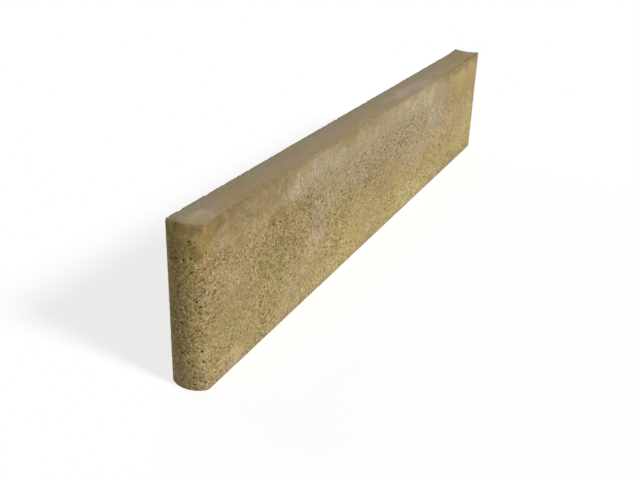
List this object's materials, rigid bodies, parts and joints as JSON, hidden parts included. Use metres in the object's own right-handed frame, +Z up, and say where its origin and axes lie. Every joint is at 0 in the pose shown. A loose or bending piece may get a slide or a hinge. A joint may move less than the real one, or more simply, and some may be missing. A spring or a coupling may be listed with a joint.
{
  "type": "concrete kerb stone",
  "caption": "Long narrow edging kerb of pressed concrete with a rounded upright tongue on one end and a groove for the next kerb's tongue in the other, standing on its bed.",
  "frame": {"origin": "middle of the bed, at the bottom centre of the bounding box", "axes": "+X along the kerb from its tongue to its grooved end, +Z up from the bed to the top face, -Y towards the side face that shows"},
  "size_m": [1.0062, 0.05, 0.2],
  "materials": {
    "concrete": "sand-yellow pressed concrete, open pores and worn arrises, matt"
  },
  "bodies": {
    "root": {"kerb_stone": "concrete"}
  },
  "joints": []
}
